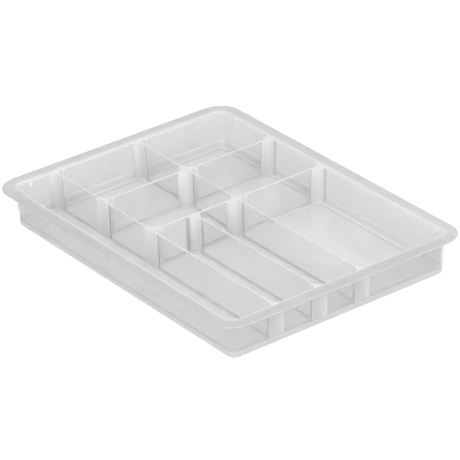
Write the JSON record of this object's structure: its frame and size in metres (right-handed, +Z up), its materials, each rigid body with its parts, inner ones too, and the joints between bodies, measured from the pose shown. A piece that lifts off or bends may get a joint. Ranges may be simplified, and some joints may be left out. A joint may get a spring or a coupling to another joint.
{
  "type": "drawer organizer insert",
  "caption": "Shallow translucent plastic tray with a wide flat rim flange and thin dividers forming one long and several square and rectangular compartments.",
  "frame": {"origin": "middle of the tray's footprint, on the plane of its underside", "axes": "+Z up, +X along the long side towards the end with the two long narrow compartments, +Y across, away from the full-length pencil compartment"},
  "size_m": [0.35, 0.258, 0.0385],
  "materials": {
    "rim_plastic": "translucent frosted polypropylene, satin, rounded bright edges",
    "wall_plastic": "translucent frosted polypropylene, satin",
    "floor_plastic": "translucent frosted polypropylene, satin",
    "divider_plastic": "nearly clear polypropylene, smooth",
    "post_plastic": "milky translucent polypropylene where the moulding is thicker",
    "pip_plastic": "translucent polypropylene"
  },
  "bodies": {
    "root": {"rim_flange": "rim_plastic", "outer_wall": "wall_plastic", "floor_panel": "floor_plastic", "long_divider_front": "divider_plastic", "long_divider_middle": "divider_plastic", "long_divider_rear": "divider_plastic", "cross_divider_left_front": "divider_plastic", "cross_divider_left_rear": "divider_plastic", "cross_divider_right_front": "divider_plastic", "cross_divider_right_rear": "divider_plastic", "post_front_left": "post_plastic", "post_front_right": "post_plastic", "post_middle": "post_plastic", "post_rear_left_front_side": "post_plastic", "post_rear_left_back_side": "post_plastic", "post_rear_right_front_side": "post_plastic", "post_rear_right_back_side": "post_plastic", "wall_column_left_front": "post_plastic", "wall_column_left_rear": "post_plastic", "wall_column_right_front": "post_plastic", "wall_column_right_middle": "post_plastic", "wall_column_right_rear": "post_plastic", "wall_column_rear_left": "post_plastic", "wall_column_rear_right": "post_plastic", "stacking_pip_front_left": "pip_plastic", "stacking_pip_front_right": "pip_plastic", "stacking_pip_rear_left": "pip_plastic", "stacking_pip_rear_right": "pip_plastic", "stacking_pip_left_front": "pip_plastic", "stacking_pip_left_rear": "pip_plastic", "stacking_pip_right_front": "pip_plastic", "stacking_pip_right_rear": "pip_plastic"}
  },
  "joints": []
}
